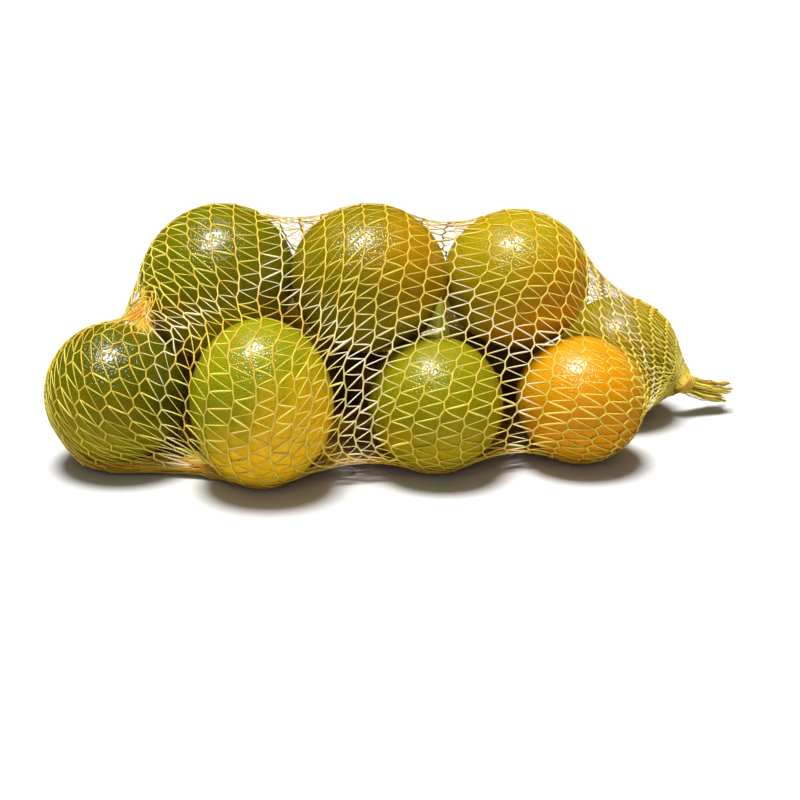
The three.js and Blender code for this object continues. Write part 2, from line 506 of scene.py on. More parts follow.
def heap_shift():
    """From the heap's own millimetres to the frame's, by the bag's left and front faces."""
    left = min(orange.x - orange.radius for orange in ORANGES.values()) - NET_STANDOFF
    front = min(orange.y - orange.radius for orange in ORANGES.values()) - NET_STANDOFF
    return np.array([BAG_LOW.x / MM - left, BAG_LOW.y / MM - front, BAG_LOW.z / MM])


HEAP_SHIFT = heap_shift()


def to_frame(points):
    """Heap millimetres as the frame's metres."""
    return (np.asarray(points, float) + HEAP_SHIFT) * MM


# Properties that a user would change


class NetSettings(bpy.types.PropertyGroup):
    """Sizes and colours of the knitted net"""

    ring_radius: FloatProperty(
        name="Ring Radius", description="Half the thickness of a zigzag ring", default=0.00043, unit="LENGTH")
    strand_width: FloatProperty(
        name="Strand Width", description="Mean width of a joining strand", default=0.00062, unit="LENGTH")
    strand_height: FloatProperty(
        name="Strand Height", description="Thickness of a joining strand", default=0.00028, unit="LENGTH")
    strand_length: FloatProperty(
        name="Strand Length", description="Length of a joining strand when straight", default=0.0108,
        unit="LENGTH")
    golden: FloatVectorProperty(
        name="Golden", description="Colour of the net", default=display(226, 212, 84), subtype="COLOR")
    deep: FloatVectorProperty(
        name="Deep", description="Colour of its deeper threads", default=display(200, 130, 6),
        subtype="COLOR")
    # Painted light: threads that stand off the peel over a gap are mixed towards this colour
    pale: FloatVectorProperty(
        name="Pale", description="Colour where it is stretched over a gap", default=display(238, 226, 192),
        subtype="COLOR")


class PeelSettings(bpy.types.PropertyGroup):
    """Sizes and colours of the peel and the stem buttons"""

    pore: FloatProperty(name="Pore", description="Distance between pores", default=0.0012, unit="LENGTH")
    green: FloatVectorProperty(
        name="Green", description="Unripe peel", default=display(149, 153, 9), subtype="COLOR")
    lime: FloatVectorProperty(
        name="Lime", description="Turning peel", default=display(160, 142, 7), subtype="COLOR")
    gold: FloatVectorProperty(
        name="Gold", description="Nearly ripe peel", default=display(166, 131, 6), subtype="COLOR")
    amber: FloatVectorProperty(
        name="Amber", description="Ripe peel", default=display(170, 106, 4), subtype="COLOR")
    button: FloatVectorProperty(
        name="Button", description="Stem button", default=display(150, 142, 84), subtype="COLOR")
    crease: FloatVectorProperty(
        name="Crease", description="Darker grain of the stem button", default=display(92, 84, 34),
        subtype="COLOR")


class LeafSettings(bpy.types.PropertyGroup):
    """Size and colours of the leaf and its stalk"""

    length: FloatProperty(name="Length", description="From base to tip", default=0.0205, unit="LENGTH")
    width: FloatProperty(name="Width", description="Across its widest part", default=0.0145, unit="LENGTH")
    green: FloatVectorProperty(
        name="Green", description="Colour of the blade", default=display(140, 144, 34), subtype="COLOR")
    vein: FloatVectorProperty(
        name="Vein", description="Colour of the veins and the tip", default=display(184, 180, 76),
        subtype="COLOR")
    stalk: FloatVectorProperty(
        name="Stalk", description="Colour of the dry stalk", default=display(252, 246, 220), subtype="COLOR")
    fleck: FloatVectorProperty(
        name="Fleck", description="Colour of the stalk's flecks", default=display(96, 84, 44),
        subtype="COLOR")


class StageSettings(bpy.types.PropertyGroup):
    """Camera, floor and light"""

    distance: FloatProperty(
        name="Distance", description="From the camera to its target", default=1.0, unit="LENGTH")
    elevation: FloatProperty(
        name="Elevation", description="How far the camera looks down", default=math.radians(20),
        subtype="ANGLE")
    lens: FloatProperty(name="Lens", description="Focal length", default=93.75, unit="CAMERA")
    key: FloatProperty(name="Key", description="Strength of the main light", default=5.9)
    gleam: FloatProperty(
        name="Gleam", description="Strength of the light that shines on the peel", default=5.5)
    fill: FloatProperty(name="Fill", description="Strength of the low light from the front", default=0.55)
    sky: FloatProperty(name="Sky", description="Strength of the light from all round", default=0.06)
    floor: FloatVectorProperty(
        name="Floor", description="Colour of the floor", default=(0.58, 0.58, 0.58), subtype="COLOR")


# Shader expressions


# Sockets of a Mix node that hold its colours
MIX_LOW = 6
MIX_HIGH = 7
MIX_RESULT = 2


class Shade:
    """A socket that takes part in Python expressions, each of which adds its nodes."""

    def __init__(self, tree, socket=None):
        self.tree = tree
        self.socket = socket

    def node(self, kind, settings=None, inputs=None, output=0):
        """Adds a node: its settings first, then the values or links of its sockets."""
        made = self.tree.nodes.new(kind)
        for name, value in (settings or {}).items():
            setattr(made, name, value)
        for name, value in (inputs or {}).items():
            if isinstance(value, Shade):
                self.tree.links.new(value.socket, made.inputs[name])
            else:
                made.inputs[name].default_value = value
        return Shade(self.tree, made.outputs[output])

    def maths(self, operation, first, second):
        """A Math node of two values."""
        return self.node("ShaderNodeMath", {"operation": operation}, {0: first, 1: second})

    def __add__(self, other):
        return self.maths("ADD", self, other)

    __radd__ = __add__

    def __sub__(self, other):
        return self.maths("SUBTRACT", self, other)

    def __rsub__(self, other):
        return self.maths("SUBTRACT", other, self)

    def __mul__(self, other):
        return self.maths("MULTIPLY", self, other)

    __rmul__ = __mul__

    def smooth(self, low, high):
        """0 below low, 1 above high and smooth between them."""
        return self.node("ShaderNodeMapRange", {"interpolation_type": "SMOOTHSTEP"},
                         {"Value": self, "From Min": low, "From Max": high})

    def mix(self, low, high):
        """The colour low where the value is 0, and high where it is 1."""
        low, high = (end if isinstance(end, Shade) else (*end, 1) for end in (low, high))
        return self.node("ShaderNodeMix", {"data_type": "RGBA"}, {0: self, MIX_LOW: low, MIX_HIGH: high},
                         MIX_RESULT)

    def darken(self, shade):
        """A colour times a plain one."""
        return self.node("ShaderNodeMix", {"data_type": "RGBA", "blend_type": "MULTIPLY"},
                         {0: 1.0, MIX_LOW: self, MIX_HIGH: shade}, MIX_RESULT)

    def vector(self, operation, other=None, output=0):
        """A Vector Math node."""
        inputs = {0: self} if other is None else {0: self, 1: other}
        return self.node("ShaderNodeVectorMath", {"operation": operation}, inputs, output)

    def place(self):
        """Where a point of the piece lies, from the piece's own origin."""
        return self.node("ShaderNodeTexCoord", output="Object")

    def value(self, name):
        """A value that the mesh holds at its points."""
        return self.node("ShaderNodeAttribute", {"attribute_name": name}, output="Fac")

    def noise(self, scale, detail):
        """Noise over a place, about 0.5 on the whole."""
        return self.node("ShaderNodeTexNoise", None, {"Vector": self, "Scale": scale, "Detail": detail})

    def bump(self, strength, distance):
        """A normal that stands a height out of the surface."""
        return self.node("ShaderNodeBump", None, {"Height": self, "Strength": strength, "Distance": distance})


def new_finish(name, **sockets):
    """A material, a blank Shade of its tree, and its shader with the given constant sockets."""
    material = bpy.data.materials.new(name)
    material.use_nodes = True
    tree = material.node_tree
    shader = tree.nodes["Principled BSDF"]
    for socket, value in sockets.items():
        shader.inputs[socket.replace("_", " ")].default_value = value
    return material, Shade(tree), shader


def feed(shader, **sockets):
    """Links values to a shader's sockets."""
    for socket, value in sockets.items():
        value.tree.links.new(value.socket, shader.inputs[socket.replace("_", " ")])


def peel_tone(colours, ripe, depth):
    """The colour of peel of a ripeness from 0 to 1, made lighter or darker."""
    tones = np.array([getattr(colours, tone) for tone in PEEL_TONES])
    places = np.linspace(0, 1, len(tones))
    return tuple(min(depth * np.interp(ripe, places, part), TONE_LIMIT) for part in tones.T)


def peel_finish(name, orange, colours):
    """Waxy peel that turns from green to orange towards its riper side, which is also painted lighter, with
    fine pores whose pits are darkened as painted shade.
    """
    material, blank, shader = new_finish(f"peel_{name}", Specular_IOR_Level=0.5)
    place = blank.place()
    facing = place.vector("NORMALIZE").vector("DOT_PRODUCT", tuple(unit(orange.blush_and_painted_light)), "Value")
    cloud = place.noise(CLOUD_NOISE, FINE_DETAIL) - NOISE_MIDDLE
    mottle = place.noise(MOTTLE_NOISE, FINE_DETAIL)
    fine = (mottle - NOISE_MIDDLE) * TURN_MOTTLED
    patch = place.noise(PATCH_NOISE, PLAIN_DETAIL)
    main = peel_tone(colours, orange.ripe, orange.depth)
    # The riper side is also painted lighter by its glow: painted light
    ripest_painted_lit = peel_tone(colours, orange.ripe + orange.spread, orange.depth * orange.painted_glow)
    greener = peel_tone(colours, orange.ripe - GREENER_RIPE, orange.depth * GREENER_DEPTH)
    turned = facing + cloud * TURN_CLOUDED + fine
    blush_and_painted_light = turned.smooth(orange.edge - TURN_SOFT, orange.edge + TURN_SOFT)
    unripe = (patch + fine).smooth(*GREENER_EDGE) * (GREENER_SHARE - GREENER_LOST * blush_and_painted_light)
    colour = unripe.mix(blush_and_painted_light.mix(main, ripest_painted_lit), greener)
    pore = blank.node("ShaderNodeTexVoronoi", {"feature": "SMOOTH_F1"},
                      {"Vector": place, "Scale": 1 / colours.pore, "Smoothness": PORE_SOFT})
    skin = pore.smooth(*PORE_EDGE)
    relief = skin + place.noise(GRAIN_NOISE, PLAIN_DETAIL) * GRAIN_HEIGHT
    # The pits of the pores are darkened: painted shade
    feed(shader, Base_Color=skin.mix(colour.darken(PORE_SHADE), colour),
         Roughness=PEEL_ROUGH + mottle * PEEL_ROUGH_MOTTLE, Normal=relief.bump(*PEEL_BUMP))
    return material


def button_finish(colours):
    """Dry grey-green stem button."""
    material, blank, shader = new_finish("stem_button", Roughness=0.8)
    grain = blank.place().noise(BUTTON_NOISE, BUTTON_DETAIL)
    feed(shader, Base_Color=grain.mix(colours.crease, colours.button), Normal=grain.bump(*BUTTON_BUMP))
    return material


def net_finish(name, net):
    """Glossy knitted tape, deeper in some threads by its own tint and by painted shade, and painted paler
    where it stands off the peel over a gap.
    """
    material, blank, shader = new_finish(name, Specular_IOR_Level=0.25, Subsurface_Weight=0.4,
                                         Subsurface_Scale=0.0006, Subsurface_Radius=(1, 1, 1))
    fibre = blank.place().noise(FIBRE_NOISE, FINE_DETAIL)
    thread = (blank.value("tint") + (fibre - NOISE_MIDDLE) * FIBRE_TINT).mix(net.deep, net.golden)
    # Painted light: the threads are mixed towards pale where they stand off the peel
    feed(shader, Base_Color=blank.value("free").mix(thread, net.pale),
         Roughness=NET_ROUGH + fibre * NET_ROUGH_FIBRE, Normal=fibre.bump(*FIBRE_BUMP))
    return material


def leaf_finish(leaf):
    """Matt green blade with a pale midrib and side veins."""
    material, blank, shader = new_finish("leaf_blade", Roughness=0.62, Specular_IOR_Level=0.06)
    grain = blank.place().noise(BLADE_NOISE, FINE_DETAIL)
    vein = blank.value("vein")
    blade = grain.mix(tuple(BLADE_SHADE * part for part in leaf.green), leaf.green)
    feed(shader, Base_Color=vein.mix(blade, leaf.vein), Normal=(grain + vein).bump(*BLADE_BUMP))
    return material


def stalk_finish(leaf):
    """Dry cream stalk with dark flecks."""
    material, blank, shader = new_finish("leaf_stalk", Roughness=0.7, Specular_IOR_Level=0.2)
    fleck = blank.place().noise(FLECK_NOISE, PLAIN_DETAIL).smooth(*FLECK_EDGE)
    feed(shader, Base_Color=fleck.mix(leaf.stalk, leaf.fleck), Normal=fleck.bump(*FLECK_BUMP))
    return material


def floor_finish(stage):
    """Plain matt floor with the faintest grain."""
    material, blank, shader = new_finish("pale_floor", Roughness=0.75)
    grain = blank.place().noise(FLOOR_NOISE, FLOOR_DETAIL)
    feed(shader, Base_Color=grain.mix(tuple(FLOOR_SHADE * part for part in stage.floor), stage.floor))
    return material


# Meshes


def new_piece(name, points, faces, materials, values=None, middle=None):
    """Adds a smooth mesh given in heap millimetres that rides on the bag and stands for its solid."""
    origin = np.zeros(3) if middle is None else to_frame(middle)
    mesh = bpy.data.meshes.new(name)
    mesh.from_pydata((to_frame(points) - origin).tolist(), [], faces)
    mesh.shade_smooth()
    for label, numbers in (values or {}).items():
        mesh.attributes.new(label, "FLOAT", "POINT").data.foreach_set("value", np.ravel(numbers))
    for material in materials:
        mesh.materials.append(material)
    piece = bpy.data.objects.new(name, mesh)
    piece.location = origin
    bpy.context.scene.collection.objects.link(piece)
    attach(piece, BODY)
    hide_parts(BAG_NODE)
    return piece


def bands(here, ahead):
    """Quads that join closed rows of points to the rows ahead of them."""
    quads = np.stack([here, np.roll(here, -1, -1), np.roll(ahead, -1, -1), ahead], -1)
    return quads.reshape(-1, 4).tolist()


def shifted(faces, count):
    """Faces whose points come after a count of other points."""
    return [[corner + count for corner in face] for face in faces]


def sweep(paths, normals, widths, heights, twist, sides, closed=False):
    """Skins paths of equal point count with an oval section turned by a twist. Gives points and faces."""
    if closed:
        along = unit(np.roll(paths, -1, 1) - np.roll(paths, 1, 1))
    else:
        along = unit(np.gradient(paths, axis=1))
    across = unit(np.cross(normals, along))
    rise = np.cross(along, across)
    cosine = np.cos(twist)[..., None]
    sine = np.sin(twist)[..., None]
    wide = (across * cosine + rise * sine) * widths[..., None]
    high = (rise * cosine - across * sine) * heights[..., None]
    turn = turns(sides)
    points = (paths[:, :, None] + wide[:, :, None] * np.cos(turn)[:, None]
              + high[:, :, None] * np.sin(turn)[:, None])
    grid = np.arange(points[..., 0].size).reshape(points.shape[:3])
    if closed:
        faces = bands(grid, np.roll(grid, -1, 1))
    else:
        faces = bands(grid[:, :-1], grid[:, 1:]) + grid[:, 0, ::-1].tolist() + grid[:, -1].tolist()
    return points.reshape(-1, 3), faces


def lay_tapes(name, finish, paths, normals, widths, twist, tint, free, net):
    """Adds one piece of the net's tapes along paths, with their colour values at every point."""
    heights = np.full_like(widths, net.strand_height / MM / 2)
    skin, faces = sweep(paths, normals, widths, heights, twist, TAPE_SIDES)
    tint = np.clip(tint, 0, 1)
    free = np.zeros_like(tint) if free is None else free
    values = {"tint": np.repeat(tint, TAPE_SIDES), "free": np.repeat(free, TAPE_SIDES)}
    return new_piece(name, skin, faces, [net_finish(finish, net)], values)


# The heap and the drawn net


def turn_to(axis):
    """The rotation that takes the upright to an axis."""
    return np.array(Vector(UP).rotation_difference(Vector(axis)).to_matrix())


def ball(orange, standoff):
    """An orange as an ellipsoid: its middle, its turn and its half axes with a standoff added."""
    along = orange.radius * orange.tall
    height = along + NET_STANDOFF - FLOOR_PRESS if orange.z is None else orange.z
    half = np.array([orange.radius, orange.radius, along]) + standoff
    return np.array([orange.x, orange.y, height]), turn_to(orange.lean), half


def heap(standoff):
    """Every orange as an ellipsoid with a standoff added."""
    return [ball(orange, standoff) for orange in ORANGES.values()]


def keep_outside(points, balls, floor=0.0):
    """Moves points out of every ball and up onto the floor."""
    for middle, turn, half in balls:
        inner = ((points - middle) @ turn) / half
        square = (inner * inner).sum(-1)
        inside = square < 1
        if inside.any():
            shell = inner[inside] / np.sqrt(square[inside])[:, None]
            points[inside] = middle + (shell * half) @ turn.T
    np.maximum(points[..., 2], floor, out=points[..., 2])


def clearance(points):
    """About how far points lie off the nearest peel."""
    least = np.full(points.shape[:-1], np.inf)
    for middle, turn, half in heap(0):
        reach = np.linalg.norm(((points - middle) @ turn) / half, axis=-1)
        least = np.minimum(least, (reach - 1) * half.min())
    return least


def tail_frame(tail, share):
    """A point of a tail's middle line, with its sideways and upward directions there."""
    neck, bend, tip = (np.array(place, float) for place in (tail.neck, tail.bend, tail.tip))
    share = np.asarray(share, float)[..., None]
    middle = neck * (1 - share) ** 2 + bend * 2 * share * (1 - share) + tip * share ** 2
    along = unit((bend - neck) * (1 - share) + (tip - bend) * share) * tail.outward
    side = unit(np.cross(UP, along))
    return middle, side, np.cross(along, side)


def tail_radius(tail, share):
    """The tuft's radius at a share of the way from its neck to its tip."""
    return tail.neck_radius + (tail.tip_radius - tail.neck_radius) * np.asarray(share, float) ** TAIL_FLARE


def neck_ring(tail, count):
    """Points round the net where it is tied, from the top round by the front."""
    middle, side, rise = tail_frame(tail, 0.0)
    turn = turns(count)[:, None]
    return middle + tail.neck_radius * (side * np.sin(turn) + rise * np.cos(turn))


def even_out(knots):
    """Spaces the points of every spoke evenly along its length, ends kept."""
    steps = np.linalg.norm(np.diff(knots, axis=0), axis=2)
    reached = np.vstack([np.zeros((1, knots.shape[1])), np.cumsum(steps, 0)])
    for spoke in range(knots.shape[1]):
        wanted = np.linspace(0, reached[-1, spoke], len(knots))
        for axis in range(3):
            knots[:, spoke, axis] = np.interp(wanted, reached[:, spoke], knots[:, spoke, axis])


def draw_tight(knots, balls, sweeps):
    """Pulls every knot to the mean of its neighbours and holds it off the fruit."""
    for sweep_number in range(1, sweeps + 1):
        pull = PULL_AROUND * (np.roll(knots, 1, 1) + np.roll(knots, -1, 1))[1:-1]
        pull += PULL_ALONG * (knots[2:] + knots[:-2])
        inner = knots[1:-1]
        inner += PULL_STEP * (pull - inner)
        keep_outside(inner, balls)
        if sweep_number % EVEN_EVERY == 0 and sweep_number < sweeps:
            even_out(knots)


def drawn_net():
    """The net's outer face: rows from the left tie to the right tie, one spoke for each kink."""
    balls = heap(NET_STANDOFF)
    spokes = KINKS // 2
    swing = (np.arange(COARSE_RINGS) + SLACK_END) / (COARSE_RINGS + 2 * SLACK_END - 1) * math.pi
    turn = turns(spokes)
    coarse = np.zeros((COARSE_RINGS, spokes, 3))
    coarse[..., 0] = -np.cos(swing)[:, None]
    coarse[..., 1] = -np.sin(swing)[:, None] * np.sin(turn)
    coarse[..., 2] = np.sin(swing)[:, None] * np.cos(turn)
    coarse = coarse * SLACK_HALF + SLACK_MIDDLE
    coarse[0] = neck_ring(TAILS["left"], spokes)
    coarse[-1] = neck_ring(TAILS["right"], spokes)
    draw_tight(coarse, balls, COARSE_SWEEPS)
    fine = np.zeros((2 * COARSE_RINGS - 1, KINKS, 3))
    fine[::2, ::2] = coarse
    fine[::2, 1::2] = (coarse + np.roll(coarse, -1, 1)) / 2
    fine[1::2] = (fine[:-2:2] + fine[2::2]) / 2
    draw_tight(fine, balls, FINE_SWEEPS)
    return fine


def lay_slack(knots):
    """Lets the net fall to the floor where it is slack."""
    x, y, z = (knots[..., axis] for axis in range(3))
    along = ease(x, *SLACK_ALONG[:2]) * (1 - ease(x, *SLACK_ALONG[2:]))
    across = ease(y, *SLACK_ACROSS[:2]) * (1 - ease(y, *SLACK_ACROSS[2:]))
    fall = along * across * (1 - ease(z, *SLACK_UNDER))
    z += fall * (SLACK_HEIGHT - z)


def face_normals(knots):
    """Outward normals of the drawn net."""
    around = np.roll(knots, -1, 1) - np.roll(knots, 1, 1)
    return unit(np.cross(around, np.gradient(knots, axis=0)))


def ring_numbers(rows):
    """The number of rings up to every row and spoke of the drawn net."""
    share = np.linspace(0, 1, rows)
    angles = [angle for angle, _ in RING_RULES]
    counts = [look_up(share, rule) for _, rule in RING_RULES]
    numbers = np.zeros((rows, KINKS))
    for spoke in range(KINKS):
        angle = spoke * DEGREES / KINKS
        after = np.searchsorted(angles, angle, side="right")
        blend = ease(angle, angles[after - 1], angles[after])
        numbers[:, spoke] = counts[after - 1] * (1 - blend) + counts[after] * blend
    return numbers


def line_round(field, numbers, wanted):
    """A field of the drawn net along the closed line where every spoke reaches a wanted ring number."""
    line = np.zeros((KINKS, 3))
    for spoke in range(KINKS):
        row = np.interp(wanted, numbers[:, spoke], np.arange(len(field)))
        low = min(int(row), len(field) - 2)
        line[spoke] = field[low, spoke] + (field[low + 1, spoke] - field[low, spoke]) * (row - low)
    return line


def at_spokes(line, spokes):
    """A closed line's values at places between its spokes."""
    low = np.floor(spokes).astype(int)
    part = (spokes - low)[..., None]
    return line[low % KINKS] * (1 - part) + line[(low + 1) % KINKS] * part


def on_net(field, rows, spokes):
    """A field of the drawn net at places between its rows and spokes."""
    row = np.minimum(np.floor(rows).astype(int), len(field) - 2)
    spoke = np.floor(spokes).astype(int)
    row_part = (rows - row)[..., None]
    spoke_part = (spokes - spoke)[..., None]
    near, far = (field[at, spoke % KINKS] * (1 - spoke_part) + field[at, (spoke + 1) % KINKS] * spoke_part
                 for at in (row, row + 1))
    return near * (1 - row_part) + far * row_part


def knit(knots, normals):
    """Where every ring kinks, evenly along its length: points and normals, even kinks to the right."""
    numbers = ring_numbers(len(knots))
    rng = np.random.default_rng(KNIT_SEED)
    points = np.zeros((RINGS + 1, KINKS, 3))
    facing = np.zeros_like(points)
    counts = np.arange(KINKS + 1)
    spokes = counts[:-1].astype(float)
    for ring in range(RINGS + 1):
        middle = line_round(knots, numbers, ring)
        steps = np.linalg.norm(np.roll(middle, -1, 0) - middle, axis=1)
        reached = np.concatenate([[0], np.cumsum(steps)])
        length = reached[-1]
        even = counts[:-1] * length / KINKS
        before = np.interp(spokes % KINKS, counts, reached) + spokes // KINKS * length
        shear = look_up(ring, SHEAR) * length / KINKS
        degrees = spokes % KINKS * DEGREES / KINKS
        front = (degrees >= SHEAR_FROM) & (degrees <= SHEAR_TO)
        wanted = even + (before - even)[front].mean() + shear
        spokes = np.interp(wanted % length, reached, counts) + wanted // length * KINKS
        sway = look_up(ring, ZIGZAG)
        right = line_round(knots, numbers, min(ring + sway, RINGS))
        left = line_round(knots, numbers, max(ring - sway, 0))
        side = np.where(counts[:-1] % 2, -1, 1) * (1 + ZIGZAG_UNEVEN * rng.standard_normal(KINKS))
        part = ((1 + side) / 2)[:, None]
        points[ring] = at_spokes(left, spokes) * (1 - part) + at_spokes(right, spokes) * part
        facing[ring] = at_spokes(line_round(normals, numbers, ring), spokes)
    return points, unit(facing)


def bunching(points):
    """How closely every ring lies to its neighbours, from 0 to 1, which sets how much deeper they are
    painted.
    """
    pitch = np.linalg.norm(np.gradient(points, axis=0), axis=2)
    return 1 - ease(pitch, BUNCHED, OPEN)


def painted_deepness(points, facing):
    """Painted shade: how much deeper the threads are painted over the top of the heap and down on the floor.
    """
    over = PAINTED_DEEP_OVER * ease(facing[..., 2], *PAINTED_DEEP_FACING)
    under = PAINTED_DEEP_UNDER * (1 - ease(points[..., 2], *PAINTED_DEEP_HEIGHT))
    return np.maximum(over, under)


def painted_paleness(points):
    """How far the threads stand off the peel, from 0 to 1, which sets how pale they are painted."""
    return ease(clearance(points), PAINTED_PALE_FROM, PAINTED_PALE_AT)


# Pieces of the net


def make_rings(points, facing, net):
    """The thick zigzag rings as one mesh."""
    rng = np.random.default_rng(RING_SEED)
    middles = (points + np.roll(points, -1, 1)) / 2
    paths = np.stack([points, middles], 2).reshape(len(points), -1, 3)
    normals = unit(np.stack([facing, facing + np.roll(facing, -1, 1)], 2)).reshape(paths.shape)
    radius = net.ring_radius / MM * look_up(np.arange(len(points)), RING_THICK)[:, None]
    uneven = 1 + RING_UNEVEN * rng.standard_normal(paths.shape[:2])
    thick = np.tile(RING_SWELL, points.shape[1]) * radius * uneven
    skin, faces = sweep(paths, normals, thick, thick, np.zeros_like(thick), RING_SIDES, closed=True)
    # Painted light: bunched rings, and those that face up or lie low, are painted deeper, free ones paler
    dense = np.repeat(bunching(points), 2, 1)
    tint = RING_TINT + TINT_UNEVEN * rng.standard_normal(paths.shape[:2]) - RING_PAINTED_BUNCH_DEPTH * dense
    tint = np.clip(tint - painted_deepness(paths, normals), 0, 1)
    free = RING_PAINTED_PALE * painted_paleness(paths) * (1 - dense)
    values = {"tint": np.repeat(tint, RING_SIDES), "free": np.repeat(free, RING_SIDES)}
    return new_piece("net_rings", skin, faces, [net_finish("net_ring_cord", net)], values)


def make_strands(points, facing, net):
    """The thin tapes that join each ring to the next, as one mesh."""
    rng = np.random.default_rng(STRAND_SEED)
    even = np.arange(0, KINKS, 2)
    landings = [(even + step) % KINKS for step in (-1, 1)]
    start, out_start = (np.stack([field[:-1, even]] * 2, 2).reshape(-1, 3) for field in (points, facing))
    end, out_end = (np.stack([field[1:, landing] for landing in landings], 2).reshape(-1, 3)
                    for field in (points, facing))
    count = len(start)
    chord = end - start
    length = np.linalg.norm(chord, axis=1)
    along = chord / np.maximum(length, SMALLEST)[:, None]
    share = np.linspace(0, 1, STRAND_STEPS + 1)
    arch = 4 * share * (1 - share)
    out = unit(out_start + out_end)
    lift = length / 8 * ((out_end - out_start) * along).sum(1)
    slack = np.maximum(net.strand_length / MM - length, 0)
    limit = np.where(rng.random(count) < SLACK_SHARE, SLACK_BOW, BOW_LIMIT)
    bow = np.minimum(np.sqrt(BOW_OF_SLACK * length * slack), limit) * rng.uniform(*BOW_SIDES, count)
    sideways = unit(np.cross(out, along))
    sideways *= np.where(sideways[:, 2:] > 0, -1, 1)
    paths = (start[:, None] + chord[:, None] * share[:, None]
             + (out * lift[:, None] + sideways * bow[:, None])[:, None] * arch[:, None])
    normals = unit(out_start[:, None] * (1 - share[:, None]) + out_end[:, None] * share[:, None])
    wide = net.strand_width / MM / 2 * np.where(rng.random(count) < TAPE_SHARE, TAPE_WIDE, TAPE_NARROW)
    uneven = 1 + STRAND_UNEVEN * rng.standard_normal((count, 1))
    widths = wide[:, None] * (STRAND_ENDS + STRAND_BELLY * arch) * uneven
    twist = scatter(rng, count, STRAND_TURN) + scatter(rng, count, STRAND_TWIST) * share
    # Painted light: bunched strands, and those that face up or lie low, are painted deeper, free ones paler
    dense = 1 - ease(length, BUNCHED, OPEN)
    tint = STRAND_TINT + TINT_UNEVEN * rng.standard_normal(count) - STRAND_PAINTED_BUNCH_DEPTH * dense
    tint = tint[:, None] - painted_deepness(paths, normals)
    free = STRAND_PAINTED_PALE * painted_paleness(paths) * (1 - dense)[:, None]
    return lay_tapes("net_strands", "net_strand_tape", paths, normals, widths, twist, tint, free, net)


def on_peel(orange, ways):
    """Points of an orange's net in the given directions from its middle."""
    middle, turn, half = ball(orange, NET_STANDOFF - NET_INSET)
    return middle + ways / np.linalg.norm((ways @ turn) / half, axis=1)[:, None]


def fan(ways, rng, count):
    """Directions scattered about the given ones in equal shares."""
    axes = np.array([way for way, _ in ways])
    spread = np.array([[reach] for _, reach in ways])
    pick = np.arange(count) % len(ways)
    return unit(unit(axes)[pick] + spread[pick] * rng.standard_normal((count, 3)))


def make_gather(net):
    """The bunched threads in the saddle between the left end and top left oranges."""
    rng = np.random.default_rng(GATHER_SEED)
    count = GATHER_STRANDS
    start = on_peel(ORANGES["left_end"], fan(GATHER_FROM, rng, count))
    end = on_peel(ORANGES["top_left"], rng.permutation(fan(GATHER_TO, rng, count)))
    bunch = np.array(GATHER) + rng.standard_normal(start.shape) * GATHER_LOOSE
    share = np.linspace(0, 1, GATHER_STEPS)
    before = np.minimum(2 * share, 1)[:, None]
    after = np.maximum(2 * share - 1, 0)[:, None]
    paths = start[:, None] * (1 - before) + bunch[:, None] * (before - after) + end[:, None] * after
    for _ in range(GATHER_SOFTENED):
        paths[:, 1:-1] = (paths[:, :-2] + paths[:, 2:]) / 2
    keep_outside(paths, heap(NET_STANDOFF - NET_INSET))
    normals = np.broadcast_to(unit(GATHER_FACING), paths.shape)
    away = (2 * share - 1) ** 2
    widths = scatter(rng, count, GATHER_WIDTH) * (1 - GATHER_TAPER * away)
    twist = scatter(rng, count, GATHER_TURN) + scatter(rng, count, GATHER_TWIST) * share
    # Painted deep in the middle of the bunch, more golden at its ends
    tint = GATHER_TINT + GATHER_TINT_ENDS * away + TINT_UNEVEN * rng.standard_normal((count, 1))
    return lay_tapes("net_gather", "net_gather_tape", paths, normals, widths, twist, tint, None, net)


def make_fold(net):
    """The threads of the roll of slack net on the floor between the two left oranges."""
    rng = np.random.default_rng(FOLD_SEED)
    count = FOLD_STRANDS
    share = np.linspace(0, 1, FOLD_STEPS)
    taper = FOLD_ENDS + (1 - FOLD_ENDS) * ease(share, *FOLD_WIDENS) * (1 - ease(share, *FOLD_NARROWS))
    turn = scatter(rng, count, (0, FULL_TURN)) + scatter(rng, count, FOLD_SWIRL) * share
    reach = np.sqrt(scatter(rng, count, FOLD_FILL)) * taper
    wave = FOLD_WAVE * waves(rng, share * scatter(rng, count, FOLD_WAVES))
    paths = np.repeat(along_line(FOLD_LINE, share)[None], count, 0)
    paths[..., 1] += FOLD_DEEP * (taper + reach * np.cos(turn))
    paths[..., 2] += FOLD_HIGH * reach * np.sin(turn) + wave
    keep_outside(paths, heap(NET_STANDOFF - NET_INSET), NET_INSET)
    normals = np.broadcast_to(unit(FOLD_FACING), paths.shape)
    widths = scatter(rng, count, FOLD_WIDTH) * np.sqrt(taper)
    twist = scatter(rng, count, FOLD_TURN) + scatter(rng, count, FOLD_TWIST) * share
    # Painted shade: a deeper tint than the rings
    tint = FOLD_TINT + FOLD_UNEVEN * rng.standard_normal((count, 1)) * np.ones(FOLD_STEPS)
    return lay_tapes("net_fold", "net_fold_tape", paths, normals, widths, twist, tint, None, net)


